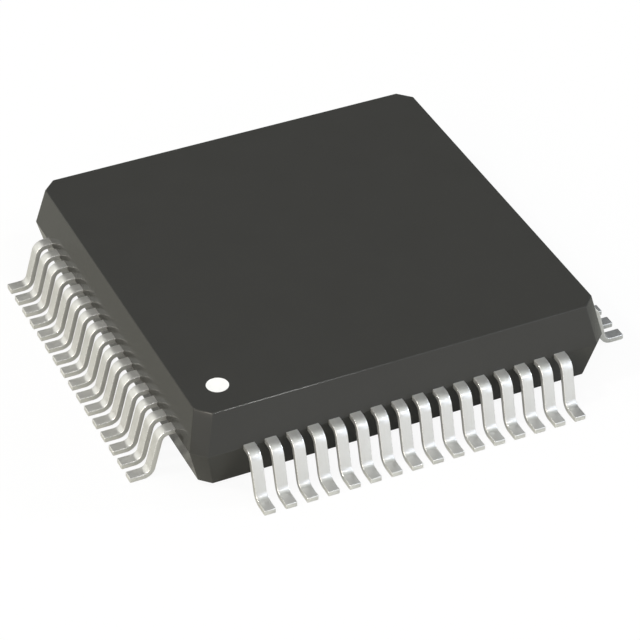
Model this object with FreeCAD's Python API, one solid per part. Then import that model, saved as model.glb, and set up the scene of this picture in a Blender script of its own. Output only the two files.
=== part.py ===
import FreeCAD, Part
import math
import os

# A square chip package with a row of gull-wing leads along each of its four sides.
# Lengths are in millimetres and angles in degrees. The origin is the centre of the plane
# that the feet stand on, and the marked corner is at -X -Y. The first row of leads leaves
# the side that faces -Y, and the rows follow counter-clockwise as seen from above.

# Rows of leads
leads_per_side = 16
lead_pitch = 0.5
end_lead_to_body_side = 1.25
leads_per_node = 4

# Moulded body: two drafted halves that meet at the parting line
standoff = 0.11
lower_half_height = 0.97
upper_half_height = 0.98
lower_draft = 14.0
upper_draft = 12.2
lower_corner_chamfer = 0.24
parting_corner_chamfer = 0.30
upper_corner_chamfer = 0.31
top_edge_radius = 0.03

# Mark beside the first lead: a round recess filled with ink almost to its brim
mark_diameter = 0.50
mark_recess_depth = 0.03
mark_ink_below_face = 0.005
mark_from_left_side = 0.99
mark_from_front_side = 1.06

# Shallow prints of the ejector pins in the underside
ejector_print_diameter = 0.80
ejector_print_depth = 0.02
ejector_print_from_side = 1.60

# Leads outside the body
frame_thickness = 0.127
lead_width = 0.265
shoulder_length = 0.13
bend_inside_radius = 0.17
bend_facets = 4
leg_lean = 15.5
foot_flat_length = 0.31

# Leads inside the body, which fan out from the die pad to the sides
straight_length_inside = 0.45
bond_land_length = 0.30
inner_lead_width = 0.16
inner_lead_to_pad_gap = 0.30
inner_lead_to_tie_bar_gap = 0.20

# Die pad, which hangs from the body's corners on four tie bars
pad_border = 0.70
pad_corner_chamfer = 0.30
pad_downset = 0.20
tie_bar_width = 0.20
tie_bar_ramp_angle = 40.0
tie_bar_ramp_to_pad = 0.05
tie_bar_end_cover = 0.15

# Die and the adhesive film under it
die_width = 3.50
die_thickness = 0.28
attach_thickness = 0.025
attach_border = 0.05

# Bond wires, from the edge of the die to the inner ends of the leads
wire_thickness = 0.025
wire_from_die_edge = 0.10
end_wire_from_die_corner = 0.25
wire_loop_height = 0.15
wire_stitch_length = 0.08

# Heights of the levels that pieces share
lead_level = standoff + lower_half_height
body_top = lead_level + upper_half_height
lead_top = lead_level + frame_thickness / 2
pad_level = lead_level - pad_downset
pad_top = pad_level + frame_thickness / 2
attach_top = pad_top + attach_thickness
die_top = attach_top + die_thickness
foot_level = frame_thickness / 2

# Half widths, measured from the middle of the package
end_lead_place = (leads_per_side - 1) * lead_pitch / 2
body_half = end_lead_place + end_lead_to_body_side
body_top_half = body_half - upper_half_height * math.tan(math.radians(upper_draft))
body_bottom_half = body_half - lower_half_height * math.tan(math.radians(lower_draft))
pad_half = die_width / 2 + pad_border

# Places along a lead's middle line, where its shoulder, leg and foot would meet without bends
bend_reach = (bend_inside_radius + frame_thickness / 2) * math.tan(math.radians(90 - leg_lean) / 2)
shoulder_corner = body_half + shoulder_length + bend_reach
foot_corner = shoulder_corner + (lead_level - foot_level) * math.tan(math.radians(leg_lean))
lead_tip = foot_corner + bend_reach + foot_flat_length

# Where the inner leads begin, and how far they spread beside the tie bars on the diagonals
inner_lead_start = pad_half + inner_lead_to_pad_gap
tie_bar_room = (tie_bar_width / 2 + inner_lead_to_tie_bar_gap) * math.sqrt(2)
end_inner_lead_place = inner_lead_start - tie_bar_room - inner_lead_width / 2
end_wire_place = die_width / 2 - end_wire_from_die_corner

UP = FreeCAD.Vector(0, 0, 1)
CENTRE = FreeCAD.Vector(0, 0, 0)


def offset_line(points, distance):
    """Points of a line that keeps its distance to the left of a bent middle line in XZ."""
    headings = [(end - start).normalize() for start, end in zip(points, points[1:])]
    lefts = [FreeCAD.Vector(-heading.z, 0, heading.x) for heading in headings]
    moved = [points[0] + lefts[0] * distance]
    for point, before, after in zip(points[1:], lefts, lefts[1:]):
        mitre = (before + after) * (1 / (1 + before.dot(after)))
        moved.append(point + mitre * distance)
    moved.append(points[-1] + lefts[-1] * distance)
    return moved


def rounded_line(points, left_turn_radius, right_turn_radius):
    """Points of a line in XZ with each corner rounded to an arc, drawn as a few flat facets."""
    rounded = points[:1]
    for before, corner, after in zip(points, points[1:], points[2:]):
        arriving = (corner - before).normalize()
        leaving = (after - corner).normalize()
        turns_left = arriving.cross(leaving).y < 0
        radius = left_turn_radius if turns_left else right_turn_radius
        reach = radius * math.tan(arriving.getAngle(leaving) / 2)
        depth = math.hypot(radius, reach) - radius
        middle = corner + (leaving - arriving).normalize() * depth
        arc = Part.Arc(corner - arriving * reach, middle, corner + leaving * reach)
        rounded.extend(arc.toShape().discretize(bend_facets + 1))
    return rounded + points[-1:]


def strip_outline(middle, thickness):
    """Both sides of a strip of even thickness, bent along its middle line, with sharp corners."""
    return offset_line(middle, thickness / 2), offset_line(middle[::-1], thickness / 2)


def polygon_face(corners):
    """A flat face with straight sides."""
    return Part.Face(Part.makePolygon(corners + corners[:1]))


def extruded_across(outline, width):
    """Solid of a side view in XZ, as wide as asked and centred on the XZ plane."""
    face = polygon_face(outline)
    face.translate(FreeCAD.Vector(0, -width / 2, 0))
    return face.extrude(FreeCAD.Vector(0, width, 0))


def strip(middle, thickness, width):
    """A bent strip with sharp bends."""
    left, right = strip_outline(middle, thickness)
    return extruded_across(left + right, width)


def turned(shape, angle):
    """A copy turned about the vertical axis of the package."""
    return shape.rotated(CENTRE, UP, angle)


def octagon(half_width, chamfer, height):
    """Corners of a square with cut corners, counter-clockwise from the front left one."""
    short = half_width - chamfer
    corners = []
    for quarter in range(4):
        turn = FreeCAD.Rotation(UP, 90 * quarter)
        for place in (-short, short):
            corners.append(turn.multVec(FreeCAD.Vector(place, -half_width, height)))
    return corners


def stacked_solid(outlines):
    """Solid with flat faces between outlines of equal count, stacked upwards."""
    faces = [polygon_face(outlines[0][::-1]), polygon_face(outlines[-1])]
    for low, high in zip(outlines, outlines[1:]):
        for index in range(len(low)):
            after = (index + 1) % len(low)
            faces.append(polygon_face([low[index], low[after], high[after], high[index]]))
    return Part.Solid(Part.Shell(faces))


def block(half_width, bottom, top):
    """A square block around the middle axis."""
    corner = FreeCAD.Vector(-half_width, -half_width, bottom)
    return Part.makeBox(2 * half_width, 2 * half_width, top - bottom, corner)


def envelope():
    """The moulded body before anything is embedded in it."""
    solid = stacked_solid([
        octagon(body_bottom_half, lower_corner_chamfer, standoff),
        octagon(body_half, parting_corner_chamfer, lead_level),
        octagon(body_top_half, upper_corner_chamfer, body_top),
    ])
    rim = [edge for edge in solid.Edges if edge.BoundBox.ZMin > body_top - top_edge_radius / 2]
    return solid.makeFillet(top_edge_radius, rim)


def mark_disc(bottom, top):
    """A disc at the place of the mark for the first lead."""
    place = FreeCAD.Vector(mark_from_left_side - body_half, mark_from_front_side - body_half, bottom)
    return Part.makeCylinder(mark_diameter / 2, top - bottom, place)


def ejector_prints():
    """Two discs that leave their prints in the underside, away from the marked corner."""
    place = body_half - ejector_print_from_side
    centre = FreeCAD.Vector(place, -place, standoff)
    disc = Part.makeCylinder(ejector_print_diameter / 2, ejector_print_depth, centre)
    return [disc, turned(disc, 180)]


def lead_side_view():
    """Outline of a lead from the side: level inside the body, then down to a level foot."""
    middle = [
        FreeCAD.Vector(inner_lead_start, 0, lead_level),
        FreeCAD.Vector(shoulder_corner, 0, lead_level),
        FreeCAD.Vector(foot_corner, 0, foot_level),
        FreeCAD.Vector(lead_tip, 0, foot_level),
    ]
    outside_radius = bend_inside_radius + frame_thickness
    upper, lower = strip_outline(middle, frame_thickness)
    upper = rounded_line(upper, bend_inside_radius, outside_radius)
    lower = rounded_line(lower, bend_inside_radius, outside_radius)
    return upper + lower


def spread(index, end_place):
    """Place of one of a row of pieces whose last one is at end_place."""
    return end_place * (2 * index / (leads_per_side - 1) - 1)


def lead_plan(index):
    """Plan view of a lead of the row on the +X side, as a tall prism."""
    inner = spread(index, end_inner_lead_place)
    outer = spread(index, end_lead_place)
    stations = [
        (inner_lead_start, inner, inner_lead_width / 2),
        (inner_lead_start + bond_land_length, inner, inner_lead_width / 2),
        (body_half - straight_length_inside, outer, lead_width / 2),
        (lead_tip, outer, lead_width / 2),
    ]
    right = [FreeCAD.Vector(x, y - half, 0) for x, y, half in stations]
    left = [FreeCAD.Vector(x, y + half, 0) for x, y, half in stations]
    return polygon_face(right + left[::-1]).extrude(UP * body_top)


def lead_row():
    """The leads on the +X side: each is where its plan view and the shared side view meet."""
    sheet = extruded_across(lead_side_view(), 2 * body_half)
    return [sheet.common(lead_plan(index)).Solids[0] for index in range(leads_per_side)]


def wire_row():
    """The bond wires on the +X side: up from the die, down to a lead, and stitched along it."""
    wires = []
    for index in range(leads_per_side):
        start = FreeCAD.Vector(die_width / 2 - wire_from_die_edge, spread(index, end_wire_place), 0)
        land = inner_lead_start + bond_land_length / 2
        end = FreeCAD.Vector(land, spread(index, end_inner_lead_place), 0)
        across = end - start
        stitch_level = lead_top + wire_thickness / 2
        loop_top = max(die_top, lead_top) + wire_loop_height
        middle = [
            FreeCAD.Vector(0, 0, die_top),
            FreeCAD.Vector(0, 0, loop_top),
            FreeCAD.Vector(across.Length - wire_stitch_length, 0, stitch_level),
            FreeCAD.Vector(across.Length, 0, stitch_level),
        ]
        wire = strip(middle, wire_thickness, wire_thickness)
        wire.rotate(CENTRE, UP, math.degrees(math.atan2(across.y, across.x)))
        wire.translate(start)
        wires.append(wire)
    return wires


def tie_bar():
    """The tie bar to the +X +Y corner, with the ramp that sets the pad below the leads."""
    pad_corner = (2 * pad_half - pad_corner_chamfer) / math.sqrt(2)
    body_corner = (2 * body_half - parting_corner_chamfer) / math.sqrt(2)
    ramp_start = pad_corner + tie_bar_ramp_to_pad
    ramp_end = ramp_start + pad_downset / math.tan(math.radians(tie_bar_ramp_angle))
    middle = [
        FreeCAD.Vector(pad_corner - pad_corner_chamfer, 0, pad_level),
        FreeCAD.Vector(ramp_start, 0, pad_level),
        FreeCAD.Vector(ramp_end, 0, lead_level),
        FreeCAD.Vector(body_corner - tie_bar_end_cover, 0, lead_level),
    ]
    return turned(strip(middle, frame_thickness, tie_bar_width), 45)


def die_pad():
    """The pad and its four tie bars, stamped as one piece."""
    low = octagon(pad_half, pad_corner_chamfer, pad_level - frame_thickness / 2)
    high = octagon(pad_half, pad_corner_chamfer, pad_top)
    bars = [turned(tie_bar(), 90 * quarter) for quarter in range(4)]
    return stacked_solid([low, high]).fuse(bars).removeSplitter().Solids[0]


def save(name, shape):
    """Write one node."""
    shape.exportStep(os.path.join("parts", name + ".step"))


def save_groups(name, pieces):
    """Write a ring of pieces, a few neighbours to a node, named by the numbers of their leads."""
    for first in range(0, len(pieces), leads_per_node):
        group = pieces[first:first + leads_per_node]
        label = "{}_{:02d}_to_{:02d}".format(name, first + 1, first + len(group))
        save(label, Part.makeCompound(group))


def main():
    os.makedirs("parts", exist_ok=True)
    quarter_turns = [90 * side - 90 for side in range(4)]
    leads = [turned(lead, angle) for angle in quarter_turns for lead in lead_row()]
    wires = [turned(wire, angle) for angle in quarter_turns for wire in wire_row()]
    pad = die_pad()
    attach = block(die_width / 2 + attach_border, pad_top, attach_top)
    die = block(die_width / 2, attach_top, die_top)
    recess_floor = body_top - mark_recess_depth
    recess = mark_disc(recess_floor, body_top)
    ink = mark_disc(recess_floor, body_top - mark_ink_below_face)
    body = envelope().cut(leads + wires + [pad, attach, die, recess] + ejector_prints())
    save("moulded_body", body)
    save("pin_one_ink", ink)
    save("die_pad", pad)
    save("die_attach", attach)
    save("silicon_die", die)
    save_groups("leads", leads)
    save_groups("bond_wires", wires)


main()
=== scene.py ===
import math

import bmesh
import bpy
from mathutils import Matrix, Quaternion, Vector


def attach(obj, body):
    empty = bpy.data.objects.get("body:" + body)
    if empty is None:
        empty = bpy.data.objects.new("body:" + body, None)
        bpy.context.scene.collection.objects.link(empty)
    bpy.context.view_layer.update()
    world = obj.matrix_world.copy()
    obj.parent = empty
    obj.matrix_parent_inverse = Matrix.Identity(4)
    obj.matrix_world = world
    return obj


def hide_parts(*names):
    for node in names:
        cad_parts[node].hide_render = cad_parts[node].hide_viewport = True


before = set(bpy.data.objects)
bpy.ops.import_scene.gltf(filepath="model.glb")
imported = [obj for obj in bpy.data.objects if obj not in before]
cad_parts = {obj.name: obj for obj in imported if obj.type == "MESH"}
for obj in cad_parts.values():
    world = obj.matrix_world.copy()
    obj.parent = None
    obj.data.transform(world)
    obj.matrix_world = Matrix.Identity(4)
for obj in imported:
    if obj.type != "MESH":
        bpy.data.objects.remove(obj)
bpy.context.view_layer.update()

# A square chip package with gull-wing leads, photographed from above its marked corner.
# Sizes are in millimetres and angles in degrees, and meshes are scaled to metres as they
# are made. Z is up, the feet stand on Z = 0 and the first row of leads faces -Y.
MM = 0.001

# Camera
camera_position = Vector((-22.049, -48.360, 40.130))
view_azimuth = -24.7185
view_elevation = 37.1874
view_roll = -0.0513
lens_length = 161.37
sensor_width = 36.0
nearest_seen = 1.0
farthest_seen = 5000.0

# Light from all round, and the darker ceiling and side that only reflections see
ambient_level = 0.45
ceiling_angles = (86.0, 64.0)
ceiling_level = 0.335
dark_side = (135.0, 25.0)
dark_side_angles = (75.0, 35.0)
dark_side_level = 0.15

# Floor: grey for the light it throws back, white for the camera, and in reflections
# whiter towards the front
floor_half = 600.0
floor_level = -0.004
floor_colour = (0.50, 0.50, 0.45, 1)
floor_colour_for_camera = (0.90, 0.90, 0.90, 1)
floor_white_for_camera = 0.93
floor_white_for_reflections = (0.12, 0.86)
floor_whitens_between = (-6.0, -9.5)

# Lamps: name, azimuth, elevation, distance, size, brightness and colour
lamps = (
    ("front_right_soft", 42.0, 26.0, 250.0, 180.0, 1.36, (0.80, 0.87, 1.0)),
    ("front_left_soft", -58.0, 26.0, 250.0, 180.0, 2.95, (1.0, 0.92, 0.79)),
    ("left_back_low_soft", -132.0, 14.0, 250.0, 130.0, 0.42, (1.0, 0.98, 0.80)),
    ("left_back_high_soft", -150.0, 38.0, 250.0, 130.0, 0.98, (1.0, 1.0, 0.94)),
    ("top_soft", 50.0, 70.0, 250.0, 130.0, 0.50, (0.95, 1.0, 0.88)),
    ("front_key", 19.8, 46.0, 250.0, 24.0, 26.0, (1.0, 1.0, 1.0)),
    ("left_key", -99.0, 51.0, 250.0, 24.0, 93.0, (1.0, 1.0, 0.92)),
    ("right_key", 78.0, 28.0, 250.0, 24.0, 88.0, (0.82, 0.91, 1.0)),
)

# Rows of leads
sides = 4
leads_per_side = 16
leads_per_node = 4
lead_pitch = 0.5

# Moulded body. A flat ring as wide as flat_band lies beside each rounded rim
body_half = 5.0
body_bottom = 0.11
parting_level = 1.08
body_top = 2.06
body_top_half = 4.788
body_bottom_half = 4.758
bottom_chamfer = 0.24
parting_chamfer = 0.30
top_chamfer = 0.31
rim_radius = 0.03
parting_radius = 0.02
rim_steps = 4
upright_radius = 0.04
flat_band = 0.04

# Finish of the body: the depths below its flat faces at which the erosion starts and is
# full, and where the top's front edge is rubbed
eroded_from_face = (0.014, 0.002)
rubbed_start = -3.6
rubbed_end = -0.2
rubbed_inner_limit = -4.7
rubbed_fade = 0.1

# Round holes: the recess of the mark and the ejector prints
mark_centre = Vector((-4.01, -3.94))
mark_radius = 0.25
mark_depth = 0.03
print_centres = (Vector((3.4, -3.4)), Vector((-3.4, 3.4)))
print_radius = 0.40
print_depth = 0.02
hole_rim_radius = 0.004
hole_rim_steps = 3
hole_foot_bevel = 0.002
hole_segments = 64

# Ink in the mark: flat in the middle, with a slope that rises to its wall
ink_below_face = 0.005
ink_meniscus = 0.003
ink_radius = 0.2495
ink_slope_radius = 0.247
ink_slope_share = 0.4
ink_flat_radius = 0.24
ink_foot_bevel = 0.001
ink_inner_rings = (0.12, 0.06)

# Leads. The rings round an end's rounded edge stand at end_rolls
lead_width = 0.265
lead_thickness = 0.127
lead_edge_radius = 0.015
inner_start = 2.75
land_end = 3.05
fan_end = 4.55
inner_half_width = 0.08
end_inner_place = 2.246
shoulder_end = 5.13
bend_radius = 0.2335
leg_lean = 15.5
foot_end = 6.077
bend_steps = 10
corner_steps = 3
end_rolls = (0, 30, 60, 90)

# Die
die_half = 1.75
die_top = 1.2485
bond_pad_row = 1.65
bond_pad_half = 0.035
bond_pad_pitch = 0.20
scribe_lane_start = 1.70

# Bond wires. The ball's profile is given in shares of its radius and height
end_wire_place = 1.5
wire_from_die_edge = 0.10
wire_radius = 0.0125
wire_loop_height = 0.15
wire_loop_radius = 0.06
wire_loop_steps = 4
wire_stitch_length = 0.08
wire_sides = 8
ball_radius = 0.030
ball_height = 0.020
ball_profile = ((0.4, 0.0), (0.9, 0.1), (1.0, 0.45), (0.8, 0.9))

# Meshes: how close vertices are welded, and how much large faces count in the shading
weld_distance = 0.0001
large_face_weight = 100

# Plain colours, and the range that holds most of a noise
white = (1, 1, 1, 1)
black = (0, 0, 0, 1)
noise_core = (0.3, 0.7)

# Moulding compound. Erosion adds to its roughness, and rubbing scales it down
epoxy_dark = (0.042, 0.042, 0.0395, 1)
epoxy_pale = (0.046, 0.046, 0.0435, 1)
epoxy_cloud_size = 0.9
epoxy_grain_size = 0.03
epoxy_grain_depth = 0.0002
epoxy_ripple_size = 0.25
epoxy_ripple_depth = 0.0006
filler_colour = (0.070, 0.070, 0.067, 1)
filler_size = 0.012
filler_range = (0.68, 0.80)
smooth_roughness = (0.08, 0.12)
smooth_shine = 0.28
eroded_roughness = (0.26, 0.32)
eroded_shine_loss = 0.12
eroded_darkening = 0.045
rubbed_roughness = 0.6
rubbed_shine = 1.0

# Tin plate. Bends and edges are burnished to a share of its roughness, and the edges are
# painted lighter in colour as a highlight
tin_dull = (0.71, 0.71, 0.695, 1)
tin_bright = (0.77, 0.77, 0.76, 1)
tin_rolled = (0.71, 0.71, 0.69, 1)
# Painted highlight: the lighter colour of the leads' rounded edges
tin_painted_edge_highlight = (0.90, 0.90, 0.89, 1)
tin_cloud_size = 0.35
tin_lump_size = 0.05
tin_lump_depth = 0.0026
tin_crystal_size = 0.02
tin_crystal_depth = 0.0012
tin_streak_size = 0.03
tin_streak_scale = (1.0, 0.06, 1.0)
tin_streak_range = (0.55, 0.75)
tin_streak_depth = 0.0001
tin_roughness = (0.36, 0.50)
tin_bend_burnish = 0.92
tin_edge_burnish = 0.65
tin_metallic = 0.77

# White ink
ink_thin = (0.86, 0.86, 0.85, 1)
ink_dense = (0.93, 0.93, 0.92, 1)
ink_cloud_size = 0.12
ink_peel_size = 0.04
ink_peel_depth = 0.0006
ink_roughness = (0.45, 0.60)

# Copper of the die pad
copper_dark = (0.78, 0.44, 0.28, 1)
copper_bright = (0.86, 0.53, 0.36, 1)
copper_streak_size = 0.02
copper_streak_scale = (0.05, 1.0, 1.0)
copper_streak_depth = 0.0005
copper_roughness = (0.28, 0.45)
tarnish_colour = (0.52, 0.25, 0.15, 1)
tarnish_size = 0.6
tarnish_range = (0.5, 0.7)
tarnish_strength = 0.6

# Adhesive under the die. Its roughness is given for the binder and for the flakes
binder_colour = (0.22, 0.21, 0.20, 1)
flake_colour = (0.72, 0.71, 0.69, 1)
flake_size = 0.012
flake_range = (0.25, 0.45)
flake_depth = 0.0008
adhesive_roughness = (0.55, 0.30)
adhesive_metallic = 0.6

# Silicon, with its circuitry in blocks that are filled with cells
block_colours = ((0.10, 0.11, 0.16, 1), (0.22, 0.17, 0.20, 1))
block_size = (0.34, 0.21)
street_colour = (0.05, 0.07, 0.08, 1)
street_width = 0.006
cell_size = (0.05, 0.013)
line_colour = (0.34, 0.32, 0.26, 1)
line_width = 0.002
line_strength = 0.5
line_depth = 0.0004
bond_pad_colour = (0.86, 0.86, 0.84, 1)
scribe_lane_colour = (0.20, 0.20, 0.21, 1)
silicon_grain_size = 0.05
silicon_roughness = (0.10, 0.20)
silicon_metallic = 0.75

# Gold of the bond wires
gold_dark = (0.95, 0.66, 0.25, 1)
gold_bright = (1.0, 0.77, 0.36, 1)
gold_grain_size = 0.006
gold_grain_depth = 0.0002
gold_roughness = (0.16, 0.26)


def add_node(tree, kind, inputs=None, **settings):
    """Add a shader node, set its settings, and set or link its inputs."""
    node = tree.nodes.new(kind)
    for name, value in settings.items():
        setattr(node, name, value)
    for name, value in (inputs or {}).items():
        if isinstance(value, bpy.types.NodeSocket):
            tree.links.new(value, node.inputs[name])
        else:
            node.inputs[name].default_value = value
    return node


def cleared_tree(owner):
    """The empty node tree of a material or a world."""
    owner.use_nodes = True
    owner.node_tree.nodes.clear()
    return owner.node_tree


def new_material(name):
    """A material with its tree, which holds a Principled shader and the output."""
    material = bpy.data.materials.new(name)
    tree = cleared_tree(material)
    shader = add_node(tree, "ShaderNodeBsdfPrincipled")
    add_node(tree, "ShaderNodeOutputMaterial", {"Surface": shader.outputs[0]})
    return material, tree, shader


def dress_shader(tree, shader, base, roughness, layers, metallic=0.0):
    """Give a shader its colour, its roughness, its layers of bumps and its share of metal."""
    tree.links.new(base, shader.inputs["Base Color"])
    tree.links.new(roughness, shader.inputs["Roughness"])
    tree.links.new(bumped(tree, layers), shader.inputs["Normal"])
    shader.inputs["Metallic"].default_value = metallic


def object_place(tree):
    """Coordinates in the frame that every piece shares, in metres."""
    return add_node(tree, "ShaderNodeTexCoord").outputs["Object"]


def attribute(tree, name, output="Fac"):
    """A mesh attribute by name."""
    return add_node(tree, "ShaderNodeAttribute", attribute_name=name).outputs[output]


def separated(tree, place):
    """The X, Y and Z of a place."""
    return add_node(tree, "ShaderNodeSeparateXYZ", {0: place}).outputs


def stretched(tree, place, scale):
    """A place scaled along each axis, so that a noise is drawn out where the scale is small."""
    inputs = {0: place, 1: scale}
    return add_node(tree, "ShaderNodeVectorMath", inputs, operation="MULTIPLY").outputs[0]


def noise(tree, place, size, detail):
    """Noise from 0 to 1 whose grains are of a size in millimetres."""
    inputs = {"Vector": place, "Scale": 1 / (size * MM), "Detail": detail}
    return add_node(tree, "ShaderNodeTexNoise", inputs).outputs[0]


def remap(tree, value, low, high, start=0.0, end=1.0, **settings):
    """A value mapped from start..end to low..high, and kept within them."""
    inputs = {"Value": value, "From Min": start, "From Max": end, "To Min": low, "To Max": high}
    return add_node(tree, "ShaderNodeMapRange", inputs, **settings).outputs[0]


def arithmetic(tree, operation, *values):
    """One math node."""
    inputs = dict(enumerate(values))
    return add_node(tree, "ShaderNodeMath", inputs, operation=operation).outputs[0]


def blend_colours(tree, share, first, second):
    """Two colours mixed by a share from 0 to 1."""
    node = add_node(tree, "ShaderNodeMix", data_type="RGBA")
    for socket, value in (("Factor", share), ("A", first), ("B", second)):
        inputs = [item for item in node.inputs if item.name == socket and item.enabled]
        if isinstance(value, bpy.types.NodeSocket):
            tree.links.new(value, inputs[0])
        else:
            inputs[0].default_value = value
    return next(item for item in node.outputs if item.enabled)


def blend_shaders(tree, share, first, second):
    """Two shaders mixed by a share from 0 to 1."""
    return add_node(tree, "ShaderNodeMixShader", {0: share, 1: first, 2: second}).outputs[0]


def bumped(tree, layers):
    """A normal raised by (height, depth in millimetres) layers, one on another."""
    normal = None
    for height, depth in layers:
        inputs = {"Height": height, "Distance": depth * MM, "Strength": 1.0}
        if normal is not None:
            inputs["Normal"] = normal
        normal = add_node(tree, "ShaderNodeBump", inputs).outputs[0]
    return normal


def rubbed_edge(tree, place):
    """Share from 0 to 1 along the top's front edge, which handling polished near the mark."""
    split = separated(tree, place)
    along = remap(tree, split[0], 1, 0, rubbed_start * MM, rubbed_end * MM)
    faded_out = (rubbed_inner_limit + rubbed_fade) * MM
    across = remap(tree, split[1], 1, 0, rubbed_inner_limit * MM, faded_out)
    return arithmetic(tree, "MULTIPLY", along, across)


def flat_face(tree, place):
    """Share that is 1 on the top and the underside of the body and 0 on its sides."""
    height = separated(tree, place)[2]
    middle = (body_top + body_bottom) / 2
    away = arithmetic(tree, "ABSOLUTE", arithmetic(tree, "SUBTRACT", height, middle * MM))
    face = (body_top - body_bottom) / 2
    start, full = ((face - depth) * MM for depth in eroded_from_face)
    return remap(tree, away, 0, 1, start, full)


def moulding_compound():
    """Dark epoxy with pale filler specks. Its sides are smooth, its top and underside are
    eroded to a matt grain, and a stretch of the top's front edge is rubbed until it shines."""
    material, tree, shader = new_material("moulding_compound")
    place = object_place(tree)
    cloud = noise(tree, place, epoxy_cloud_size, detail=3)
    grain = noise(tree, place, epoxy_grain_size, detail=3)
    ripple = noise(tree, place, epoxy_ripple_size, detail=2)
    filler = remap(tree, noise(tree, place, filler_size, detail=1), 0, 1, *filler_range)
    rubbed = arithmetic(tree, "MULTIPLY", attribute(tree, "arris"), rubbed_edge(tree, place))
    eroded = arithmetic(tree, "MULTIPLY", flat_face(tree, place), remap(tree, rubbed, 1, 0))
    base = blend_colours(tree, cloud, epoxy_dark, epoxy_pale)
    base = blend_colours(tree, filler, base, filler_colour)
    base = blend_colours(tree, remap(tree, eroded, 0, eroded_darkening), base, black)
    smooth = remap(tree, grain, *smooth_roughness, *noise_core)
    matt = remap(tree, grain, *eroded_roughness, *noise_core)
    roughness = arithmetic(tree, "ADD", smooth, arithmetic(tree, "MULTIPLY", eroded, matt))
    burnish = remap(tree, rubbed, 1.0, rubbed_roughness)
    roughness = arithmetic(tree, "MULTIPLY", roughness, burnish)
    layers = [(grain, epoxy_grain_depth), (ripple, epoxy_ripple_depth)]
    dress_shader(tree, shader, base, roughness, layers)
    shine = remap(tree, rubbed, smooth_shine, rubbed_shine)
    shine = arithmetic(tree, "SUBTRACT", shine, remap(tree, eroded, 0, eroded_shine_loss))
    tree.links.new(shine, shader.inputs["Specular IOR Level"])
    return material


def tin_plate():
    """Matt tin over copper: fine crystals and lumps, faint rolling streaks along the strip,
    burnished bends and edges, and a painted highlight: the edges are made lighter in colour."""
    material, tree, shader = new_material("tin_plated_leads")
    place = object_place(tree)
    strip = attribute(tree, "strip_place", "Vector")
    rolled = stretched(tree, strip, tin_streak_scale)
    streaks = noise(tree, rolled, tin_streak_size, detail=2)
    crystals = noise(tree, place, tin_crystal_size, detail=2)
    lumps = noise(tree, place, tin_lump_size, detail=2)
    cloud = noise(tree, place, tin_cloud_size, detail=2)
    formed = attribute(tree, "formed")
    edge_highlight_and_burnish = attribute(tree, "arris")
    base = blend_colours(tree, cloud, tin_dull, tin_bright)
    base = blend_colours(tree, remap(tree, streaks, 0, 1, *tin_streak_range), base, tin_rolled)
    # Painted highlight: lighter colour on the rounded edges
    base = blend_colours(tree, edge_highlight_and_burnish, base, tin_painted_edge_highlight)
    roughness = remap(tree, lumps, *tin_roughness, *noise_core)
    for share, burnish in ((formed, tin_bend_burnish), (edge_highlight_and_burnish, tin_edge_burnish)):
        roughness = arithmetic(tree, "MULTIPLY", roughness, remap(tree, share, 1.0, burnish))
    layers = [
        (lumps, tin_lump_depth),
        (crystals, tin_crystal_depth),
        (streaks, tin_streak_depth),
    ]
    dress_shader(tree, shader, base, roughness, layers, tin_metallic)
    return material


def white_ink():
    """Dense white marking ink with a slight orange peel."""
    material, tree, shader = new_material("white_ink")
    place = object_place(tree)
    cloud = noise(tree, place, ink_cloud_size, detail=3)
    peel = noise(tree, place, ink_peel_size, detail=2)
    base = blend_colours(tree, cloud, ink_thin, ink_dense)
    roughness = remap(tree, cloud, *ink_roughness)
    dress_shader(tree, shader, base, roughness, [(peel, ink_peel_depth)])
    return material


def lead_frame_copper():
    """Bare copper alloy sheet inside the body: rolling streaks and a light tarnish."""
    material, tree, shader = new_material("bare_lead_frame")
    place = object_place(tree)
    rolled = stretched(tree, place, copper_streak_scale)
    streaks = noise(tree, rolled, copper_streak_size, detail=3)
    tarnish = noise(tree, place, tarnish_size, detail=4)
    base = blend_colours(tree, streaks, copper_dark, copper_bright)
    darkened = remap(tree, tarnish, 0, tarnish_strength, *tarnish_range)
    base = blend_colours(tree, darkened, base, tarnish_colour)
    roughness = remap(tree, tarnish, *copper_roughness)
    layers = [(streaks, copper_streak_depth)]
    dress_shader(tree, shader, base, roughness, layers, metallic=1.0)
    return material


def die_adhesive():
    """Silver-filled epoxy: bright flakes in a grey binder."""
    material, tree, shader = new_material("die_adhesive")
    inputs = {"Vector": object_place(tree), "Scale": 1 / (flake_size * MM)}
    cells = add_node(tree, "ShaderNodeTexVoronoi", inputs)
    flakes = remap(tree, cells.outputs["Distance"], 1, 0, *flake_range)
    base = blend_colours(tree, flakes, binder_colour, flake_colour)
    roughness = remap(tree, flakes, *adhesive_roughness)
    dress_shader(tree, shader, base, roughness, [(flakes, flake_depth)], adhesive_metallic)
    return material


def bricks(tree, place, size, gap, colours=None):
    """A brick texture with bricks and gaps of given sizes in millimetres."""
    inputs = {"Vector": place, "Scale": 1 / MM, "Mortar Size": gap}
    inputs |= {"Brick Width": size[0], "Row Height": size[1]}
    return add_node(tree, "ShaderNodeTexBrick", inputs | (colours or {})).outputs


def circuitry(tree, place):
    """Blocks of circuitry with fine cells in them: their colour, and the lines of the cells."""
    colours = {"Color1": block_colours[0], "Color2": block_colours[1], "Mortar": street_colour}
    blocks = bricks(tree, place, block_size, street_width, colours)["Color"]
    lines = bricks(tree, place, cell_size, line_width)["Fac"]
    share = arithmetic(tree, "MULTIPLY", lines, line_strength)
    return blend_colours(tree, share, blocks, line_colour), lines


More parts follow.
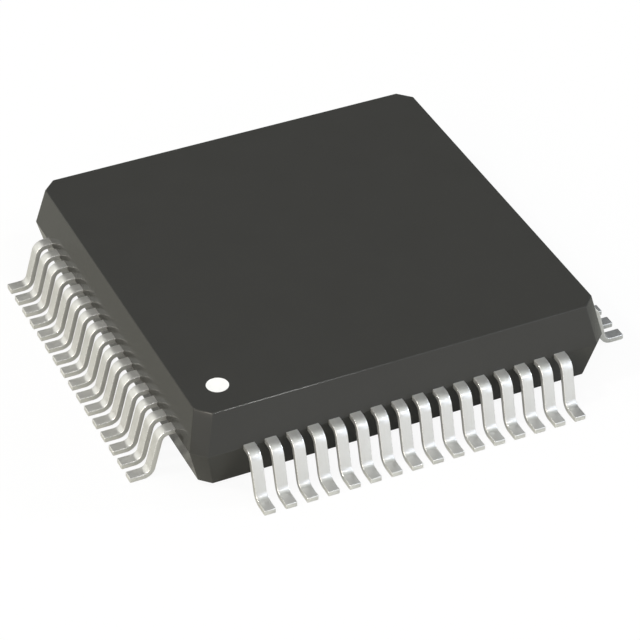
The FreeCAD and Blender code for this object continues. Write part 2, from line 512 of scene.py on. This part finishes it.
def on_bond_pad(tree, outermost, other):
    """1 on the bond pads, a row of squares along each side of the die, and 0 elsewhere."""
    half_pitch = bond_pad_pitch / 2 * MM
    in_row = arithmetic(tree, "COMPARE", outermost, bond_pad_row * MM, bond_pad_half * MM)
    from_first = arithmetic(tree, "SUBTRACT", other, half_pitch)
    from_nearest = arithmetic(tree, "PINGPONG", from_first, half_pitch)
    in_step = arithmetic(tree, "LESS_THAN", from_nearest, bond_pad_half * MM)
    return arithmetic(tree, "MULTIPLY", in_row, in_step)


def silicon():
    """Polished silicon with blocks of circuitry, a row of bond pads and a bare scribe lane."""
    material, tree, shader = new_material("silicon")
    place = object_place(tree)
    split = separated(tree, place)
    across = arithmetic(tree, "ABSOLUTE", split[0])
    along = arithmetic(tree, "ABSOLUTE", split[1])
    outermost = arithmetic(tree, "MAXIMUM", across, along)
    other = arithmetic(tree, "MINIMUM", across, along)
    base, lines = circuitry(tree, place)
    base = blend_colours(tree, on_bond_pad(tree, outermost, other), base, bond_pad_colour)
    in_lane = arithmetic(tree, "GREATER_THAN", outermost, scribe_lane_start * MM)
    base = blend_colours(tree, in_lane, base, scribe_lane_colour)
    grain = noise(tree, place, silicon_grain_size, detail=2)
    roughness = remap(tree, grain, *silicon_roughness)
    dress_shader(tree, shader, base, roughness, [(lines, line_depth)], silicon_metallic)
    return material


def bond_gold():
    """Drawn gold wire."""
    material, tree, shader = new_material("gold_wire")
    grain = noise(tree, object_place(tree), gold_grain_size, detail=2)
    base = blend_colours(tree, grain, gold_dark, gold_bright)
    roughness = remap(tree, grain, *gold_roughness)
    dress_shader(tree, shader, base, roughness, [(grain, gold_grain_depth)], metallic=1.0)
    return material


def add_object(name, data):
    """A new object in the scene."""
    thing = bpy.data.objects.new(name, data)
    bpy.context.scene.collection.objects.link(thing)
    return thing


def lathe_rings(bm, centre, profile, segments):
    """Rings of vertices round an upright axis, for (radius, height) points in millimetres."""
    rings = []
    for radius, height in profile:
        ring = []
        for step in range(segments):
            angle = 2 * math.pi * step / segments
            x = centre.x + radius * math.cos(angle)
            y = centre.y + radius * math.sin(angle)
            ring.append(bm.verts.new(Vector((x, y, height)) * MM))
        rings.append(ring)
    return rings


def bridge(bm, rings):
    """Quads between rings of equal count."""
    for low, high in zip(rings, rings[1:]):
        for index in range(len(low)):
            after = (index + 1) % len(low)
            bm.faces.new((low[index], low[after], high[after], high[index]))


def bridge_closed(bm, rings):
    """Quads between rings of equal count, and a face over each end."""
    bridge(bm, rings)
    bm.faces.new(rings[0][::-1])
    bm.faces.new(rings[-1])


def finish_piece(bm, name, material, nodes):
    """Turn a mesh into a piece with even shading, which takes the place of its CAD nodes."""
    bmesh.ops.remove_doubles(bm, verts=bm.verts, dist=weld_distance * MM)
    bmesh.ops.recalc_face_normals(bm, faces=bm.faces)
    mesh = bpy.data.meshes.new(name)
    bm.to_mesh(mesh)
    bm.free()
    mesh.shade_smooth()
    piece = add_object(name, mesh)
    shading = piece.modifiers.new("even_shading", "WEIGHTED_NORMAL")
    shading.weight = large_face_weight
    mesh.materials.append(material)
    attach(piece, "root")
    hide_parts(*nodes)
    return piece


def arc_points(start, end, centre, steps):
    """Points in a plane from start to end round a centre, both included."""
    first, last = start - centre, end - centre
    clockwise = first.angle_signed(last)
    turns = (Matrix.Rotation(-clockwise * step / steps, 2) for step in range(steps + 1))
    return [centre + turn @ first for turn in turns]


def rounded_corner(before, corner, after, radius, steps):
    """Points of an arc that rounds the corner of two straight runs in a plane."""
    arriving = (corner - before).normalized()
    leaving = (after - corner).normalized()
    reach = radius * math.tan(arriving.angle(leaving) / 2)
    depth = math.hypot(radius, reach)
    centre = corner + (leaving - arriving).normalized() * depth
    return arc_points(corner - arriving * reach, corner + leaving * reach, centre, steps)


def octagon_ring(half, chamfer):
    """Points round a square with cut and slightly rounded corners, counter-clockwise."""
    short = half - chamfer
    corners = []
    for quarter in range(4):
        turn = Matrix.Rotation(math.radians(90 * quarter), 2)
        corners += [turn @ Vector((-short, -half)), turn @ Vector((short, -half))]
    ring = []
    for index, corner in enumerate(corners):
        before, after = corners[index - 1], corners[(index + 1) % len(corners)]
        ring += rounded_corner(before, corner, after, upright_radius, corner_steps)
    return ring


def body_profile():
    """(half width, height, on an arris) of the body's rings from its foot to its top."""
    bottom = Vector((body_bottom_half, body_bottom))
    middle = Vector((body_half, parting_level))
    top = Vector((body_top_half, body_top))
    inward = Vector((1.0, 0.0))
    profile = []
    for before, corner, after, radius in (
        (bottom - inward, bottom, middle, rim_radius),
        (bottom, middle, top, parting_radius),
        (middle, top, top - inward, rim_radius),
    ):
        arc = rounded_corner(before, corner, after, radius, rim_steps)
        for step, point in enumerate(arc):
            profile.append((point.x, point.y, 0 < step < rim_steps))
    first, last = profile[0], profile[-1]
    profile.insert(0, (first[0] - flat_band, first[1], False))
    profile.append((last[0] - flat_band, last[1], False))
    return profile


def chamfer_at(height):
    """Corner chamfer at a height of the body."""
    if height < parting_level:
        share = (height - body_bottom) / (parting_level - body_bottom)
        return bottom_chamfer + share * (parting_chamfer - bottom_chamfer)
    share = (height - parting_level) / (body_top - parting_level)
    return parting_chamfer + share * (top_chamfer - parting_chamfer)


def round_hole(bm, centre, radius, face_level, depth):
    """A blind round hole with a softened rim. Depth is upwards. Returns the ring in the face."""
    side = 1 if depth > 0 else -1
    profile = [(radius + hole_rim_radius + flat_band, face_level)]
    for step in range(hole_rim_steps + 1):
        angle = math.pi / 2 * step / hole_rim_steps
        outwards = hole_rim_radius * (1 - math.sin(angle))
        inwards = hole_rim_radius * (1 - math.cos(angle))
        profile.append((radius + outwards, face_level + side * inwards))
    end_level = face_level + depth
    profile.append((radius, end_level - side * hole_foot_bevel))
    profile.append((radius - hole_foot_bevel, end_level))
    rings = lathe_rings(bm, centre, profile, hole_segments)
    bridge(bm, rings)
    bm.faces.new(rings[-1])
    return rings[0]


def fill_face(bm, outer, holes):
    """Flat face between an outer ring and round holes."""
    edges = []
    for ring in [outer] + holes:
        for index, vertex in enumerate(ring):
            after = ring[(index + 1) % len(ring)]
            edges.append(bm.edges.get((vertex, after)) or bm.edges.new((vertex, after)))
    bmesh.ops.triangle_fill(bm, use_beauty=True, use_dissolve=False, edges=edges)


def build_body(material):
    """The moulded body: two drafted halves, rounded arrises, the mark's recess and the prints."""
    bm = bmesh.new()
    arris = bm.verts.layers.float.new("arris")
    rings = []
    for half, height, on_arris in body_profile():
        ring = []
        for point in octagon_ring(half, chamfer_at(height)):
            vertex = bm.verts.new(Vector((point.x, point.y, height)) * MM)
            vertex[arris] = 1.0 if on_arris else 0.0
            ring.append(vertex)
        rings.append(ring)
    bridge(bm, rings)
    recess = round_hole(bm, mark_centre, mark_radius, body_top, -mark_depth)
    prints = [
        round_hole(bm, centre, print_radius, body_bottom, print_depth) for centre in print_centres
    ]
    fill_face(bm, rings[-1], [recess])
    fill_face(bm, rings[0], prints)
    return finish_piece(bm, "moulded_package", material, ["moulded_body"])


def build_ink(material):
    """The ink in the mark: a thin fill that creeps up the wall of its recess."""
    bm = bmesh.new()
    recess_level = body_top - mark_depth
    level = body_top - ink_below_face
    profile = [
        (ink_flat_radius, recess_level),
        (ink_radius, recess_level + ink_foot_bevel),
        (ink_radius, level + ink_meniscus),
        (ink_slope_radius, level + ink_slope_share * ink_meniscus),
        (ink_flat_radius, level),
    ]
    profile += [(radius, level) for radius in ink_inner_rings]
    bridge_closed(bm, lathe_rings(bm, mark_centre, profile, hole_segments))
    return finish_piece(bm, "pin_one_ink_spot", material, ["pin_one_ink"])


def row_place(index, end_place):
    """Place along a side of one of its leads or wires, of which the last is at end_place."""
    return end_place * (2 * index / (leads_per_side - 1) - 1)


def number_of(index, side):
    """Number of a lead or wire, counted from 1 round the package."""
    return side * leads_per_side + index + 1


def node_of(kind, number):
    """Name of the CAD node that holds a lead or wire with its neighbours."""
    first = number - (number - 1) % leads_per_node
    return "{}_{:02d}_to_{:02d}".format(kind, first, first + leads_per_node - 1)


def turn_to_side(bm, side):
    """Turn a lead or wire that was built along +X to its side, the first of which faces -Y."""
    bm.transform(Matrix.Rotation(math.radians(90 * side - 90), 4, "Z"))


def on_bend(angle):
    """From the centre of a bend to the middle line of a lead, at an angle from upright."""
    return bend_radius * Vector((math.sin(angle), math.cos(angle)))


def lead_line():
    """(place, heading, formed) steps along the middle of a lead outside the body, from its
    shoulder to the start of its foot, in the plane of its side."""
    turn = math.radians(90 - leg_lean)
    upper_centre = Vector((shoulder_end, parting_level - bend_radius))
    leg_top = upper_centre + on_bend(turn)
    foot_level = lead_thickness / 2
    lower_drop = bend_radius * (1 - math.cos(turn))
    leg_drop = leg_top.y - foot_level - lower_drop
    leg_end = leg_top + Vector((leg_drop / math.tan(turn), -leg_drop))
    lower_centre = leg_end + on_bend(turn)
    line = [(Vector((shoulder_end, parting_level)), 0.0, 0.0)]
    for step in range(1, bend_steps + 1):
        angle = turn * step / bend_steps
        line.append((upper_centre + on_bend(angle), angle, math.sin(math.pi * step / bend_steps)))
    for step in range(bend_steps + 1):
        angle = turn * (1 - step / bend_steps)
        line.append((lower_centre - on_bend(angle), angle, math.sin(math.pi * step / bend_steps)))
    return line


def lead_stations(index):
    """(place, heading, place along the side, half width, formed) steps from end to end."""
    inner = row_place(index, end_inner_place)
    outer = row_place(index, lead_pitch * (leads_per_side - 1) / 2)
    half = lead_width / 2
    stations = [
        (Vector((inner_start, parting_level)), 0.0, inner, inner_half_width, 0.0),
        (Vector((land_end, parting_level)), 0.0, inner, inner_half_width, 0.0),
        (Vector((fan_end, parting_level)), 0.0, outer, half, 0.0),
    ]
    stations += [(place, heading, outer, half, formed) for place, heading, formed in lead_line()]
    stations.append((Vector((foot_end, lead_thickness / 2)), 0.0, outer, half, 0.0))
    return stations


def section_directions():
    """(sign across, sign through, cosine, sine, share of painted edge highlight and burnish)
    counter-clockwise round a section with rounded corners."""
    directions = []
    for quarter, (across, through) in enumerate(((1, 1), (-1, 1), (-1, -1), (1, -1))):
        for step in range(corner_steps + 1):
            angle = math.pi / 2 * (quarter + step / corner_steps)
            edge_highlight_and_burnish = 1.0 if 0 < step < corner_steps else 0.0
            directions.append((across, through, math.cos(angle), math.sin(angle), edge_highlight_and_burnish))
    return directions


def lead_ring(bm, layers, station, along, end=0, roll=0.0):
    """One ring of a lead. At an end, -1 or 1, roll turns it over the rounded edge of that end."""
    place, heading, side_place, half_width, formed = station
    ahead = Vector((math.cos(heading), 0.0, -math.sin(heading)))
    through = Vector((math.sin(heading), 0.0, math.cos(heading)))
    across = Vector((0.0, 1.0, 0.0))
    radius = lead_edge_radius
    size = radius * math.cos(roll)
    middle = Vector((place.x, side_place, place.y))
    middle += ahead * end * radius * (math.sin(roll) - 1)
    ring = []
    for sign_across, sign_through, cosine, sine, edge_highlight_and_burnish in section_directions():
        sideways = sign_across * (half_width - radius) + size * cosine
        upwards = sign_through * (lead_thickness / 2 - radius) + size * sine
        vertex = bm.verts.new((middle + across * sideways + through * upwards) * MM)
        vertex[layers["strip_place"]] = Vector((side_place + sideways, along, upwards)) * MM
        vertex[layers["formed"]] = formed
        # Share of painted edge highlight and burnish: on the rounded edges and round the rounded
        # ends
        vertex[layers["arris"]] = max(edge_highlight_and_burnish, abs(math.sin(2 * roll)))
        ring.append(vertex)
    return ring


def build_lead(index, side, material):
    """One lead, swept along its line, with its edges and ends softened, and turned to its side."""
    bm = bmesh.new()
    layers = {
        "strip_place": bm.verts.layers.float_vector.new("strip_place"),
        "formed": bm.verts.layers.float.new("formed"),
        "arris": bm.verts.layers.float.new("arris"),
    }
    stations = lead_stations(index)
    rolls = [math.radians(angle) for angle in end_rolls]
    rings = [lead_ring(bm, layers, stations[0], 0.0, -1, roll) for roll in rolls[::-1]]
    along = 0.0
    for before, station in zip(stations, stations[1:-1]):
        along += (station[0] - before[0]).length
        rings.append(lead_ring(bm, layers, station, along))
    along += (stations[-1][0] - stations[-2][0]).length
    rings += [lead_ring(bm, layers, stations[-1], along, 1, roll) for roll in rolls]
    bridge_closed(bm, rings)
    turn_to_side(bm, side)
    number = number_of(index, side)
    name = "lead_{:02d}".format(number)
    return finish_piece(bm, name, material, [node_of("leads", number)])


def wire_line(length):
    """Points of a bond wire from its ball over the loop to its stitch, in its own plane."""
    stitch_level = parting_level + lead_thickness / 2 + wire_radius
    corners = [
        Vector((0.0, die_top + ball_height)),
        Vector((0.0, die_top + wire_loop_height)),
        Vector((length - wire_stitch_length, stitch_level)),
        Vector((length, stitch_level)),
    ]
    line = corners[:1]
    for before, corner, after in zip(corners, corners[1:], corners[2:]):
        line += rounded_corner(before, corner, after, wire_loop_radius, wire_loop_steps)
    return line + corners[-1:]


def wire_ring(bm, start, ahead, point, run):
    """One ring of a bond wire at a point of its line, square to the run of the line there."""
    heading = math.atan2(run.y, run.x)
    tilt = math.sin(heading)
    normal = Vector((-ahead.x * tilt, -ahead.y * tilt, math.cos(heading)))
    aside = Vector((-ahead.y, ahead.x, 0.0))
    first = math.atan2(ahead.y, ahead.x)
    middle = Vector((start.x + ahead.x * point.x, start.y + ahead.y * point.x, point.y))
    ring = []
    for step in range(wire_sides):
        angle = 2 * math.pi * step / wire_sides - first
        offset = -normal * math.cos(angle) + aside * math.sin(angle)
        ring.append(bm.verts.new((middle + offset * wire_radius) * MM))
    return ring


def build_wire(index, side, material):
    """One bond wire with its ball, from the edge of the die to the inner end of a lead."""
    bm = bmesh.new()
    start = Vector((die_half - wire_from_die_edge, row_place(index, end_wire_place)))
    end = Vector(((inner_start + land_end) / 2, row_place(index, end_inner_place)))
    ahead = (end - start).normalized()
    line = wire_line((end - start).length)
    ball = [(share * ball_radius, die_top + rise * ball_height) for share, rise in ball_profile]
    ball.append((wire_radius, die_top + ball_height))
    rings = lathe_rings(bm, start, ball, wire_sides)
    for before, point, after in zip(line, line[1:], line[2:] + line[-1:]):
        rings.append(wire_ring(bm, start, ahead, point, after - before))
    bridge_closed(bm, rings)
    turn_to_side(bm, side)
    number = number_of(index, side)
    name = "bond_wire_{:02d}".format(number)
    return finish_piece(bm, name, material, [node_of("bond_wires", number)])


def dress_node(name, material):
    """Give a CAD node that stays its procedural material."""
    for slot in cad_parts[name].material_slots:
        slot.material = material


def direction_at(azimuth, elevation):
    """Unit direction from the object. Azimuth 0 is towards -Y and 90 towards +X."""
    turn, rise = math.radians(azimuth), math.radians(elevation)
    level = math.cos(rise)
    return Vector((math.sin(turn) * level, -math.cos(turn) * level, math.sin(rise)))


def look_towards(thing, direction, roll=0.0):
    """Point a camera or lamp along a direction."""
    thing.rotation_mode = "QUATERNION"
    turn = Quaternion((0.0, 0.0, 1.0), math.radians(roll))
    thing.rotation_quaternion = direction.to_track_quat("-Z", "Y") @ turn


def add_camera():
    """The camera, at the photograph's place and angle."""
    data = bpy.data.cameras.new("camera")
    data.lens = lens_length
    data.sensor_width = sensor_width
    data.clip_start = nearest_seen * MM
    data.clip_end = farthest_seen * MM
    camera = add_object("camera", data)
    camera.location = camera_position * MM
    look_towards(camera, -direction_at(view_azimuth, view_elevation), view_roll)
    bpy.context.scene.camera = camera


def add_lamp(name, azimuth, elevation, distance, size, radiance, colour):
    """A square soft light of a given brightness as seen in a mirror. Sizes in millimetres."""
    data = bpy.data.lights.new(name, "AREA")
    data.shape = "SQUARE"
    data.size = size * MM
    data.energy = radiance * math.pi * (size * MM) ** 2
    data.color = colour
    lamp = add_object(name, data)
    away = direction_at(azimuth, elevation)
    lamp.location = away * distance * MM
    look_towards(lamp, -away)
    lamp.visible_camera = False


def faded(tree, direction, towards, angles, level):
    """Brightness that falls smoothly from 1 to a level between two angles from a direction."""
    inputs = {0: direction, 1: towards}
    node = add_node(tree, "ShaderNodeVectorMath", inputs, operation="DOT_PRODUCT")
    nearness = node.outputs["Value"]
    far, near = (math.cos(math.radians(angle)) for angle in angles)
    return remap(tree, nearness, 1.0, level, far, near, interpolation_type="SMOOTHSTEP")


def kinds_of_ray(tree):
    """Whether a ray comes from the camera, and whether it was reflected or refracted."""
    path = add_node(tree, "ShaderNodeLightPath").outputs
    mirrored = arithmetic(tree, "MAXIMUM", path["Is Glossy Ray"], path["Is Transmission Ray"])
    return path["Is Camera Ray"], mirrored


def add_world():
    """A white cyclorama, in reflections darker overhead and behind, and even light all round."""
    world = bpy.data.worlds.new("studio")
    bpy.context.scene.world = world
    tree = cleared_tree(world)
    direction = add_node(tree, "ShaderNodeTexCoord").outputs["Generated"]
    overhead = faded(tree, direction, direction_at(0, 90), ceiling_angles, ceiling_level)
    behind = faded(tree, direction, direction_at(*dark_side), dark_side_angles, dark_side_level)
    reflected_level = arithmetic(tree, "MULTIPLY", overhead, behind)
    even, bright, reflected = (
        add_node(tree, "ShaderNodeBackground", {"Color": white, "Strength": level}).outputs[0]
        for level in (ambient_level, 1.0, reflected_level)
    )
    from_camera, mirrored = kinds_of_ray(tree)
    lit = blend_shaders(tree, mirrored, even, reflected)
    mixed = blend_shaders(tree, from_camera, lit, bright)
    add_node(tree, "ShaderNodeOutputWorld", {"Surface": mixed})


def floor_material():
    """Matt grey for light. The camera sees it nearly white, with the object's faint shadow,
    and reflections see it whiter towards the front."""
    material = bpy.data.materials.new("floor")
    tree = cleared_tree(material)
    bright = add_node(tree, "ShaderNodeEmission", {"Color": white, "Strength": 1.0}).outputs[0]
    matt, pale = (
        add_node(tree, "ShaderNodeBsdfDiffuse", {"Color": colour}).outputs[0]
        for colour in (floor_colour, floor_colour_for_camera)
    )
    forward = separated(tree, object_place(tree))[1]
    start, end = (place * MM for place in floor_whitens_between)
    whiteness = remap(tree, forward, *floor_white_for_reflections, start, end)
    from_camera, mirrored = kinds_of_ray(tree)
    share = arithmetic(tree, "MULTIPLY", mirrored, whiteness)
    lit = blend_shaders(tree, share, matt, bright)
    seen = blend_shaders(tree, floor_white_for_camera, pale, bright)
    mixed = blend_shaders(tree, from_camera, lit, seen)
    add_node(tree, "ShaderNodeOutputMaterial", {"Surface": mixed})
    return material


def add_floor():
    """A plain square floor, a hair below the feet."""
    bm = bmesh.new()
    half, level = floor_half * MM, floor_level * MM
    corners = [(-half, -half), (half, -half), (half, half), (-half, half)]
    bm.faces.new([bm.verts.new((x, y, level)) for x, y in corners])
    mesh = bpy.data.meshes.new("floor")
    bm.to_mesh(mesh)
    bm.free()
    mesh.materials.append(floor_material())
    floor = add_object("floor", mesh)


def main():
    """The studio, the pieces that replace CAD nodes, and the materials of those that stay."""
    add_camera()
    add_world()
    add_floor()
    for lamp in lamps:
        add_lamp(*lamp)
    build_body(moulding_compound())
    build_ink(white_ink())
    tin, gold = tin_plate(), bond_gold()
    for side in range(sides):
        for index in range(leads_per_side):
            build_lead(index, side, tin)
            build_wire(index, side, gold)
    dress_node("die_pad", lead_frame_copper())
    dress_node("die_attach", die_adhesive())
    dress_node("silicon_die", silicon())
    bpy.context.scene.view_settings.view_transform = "Standard"


main()
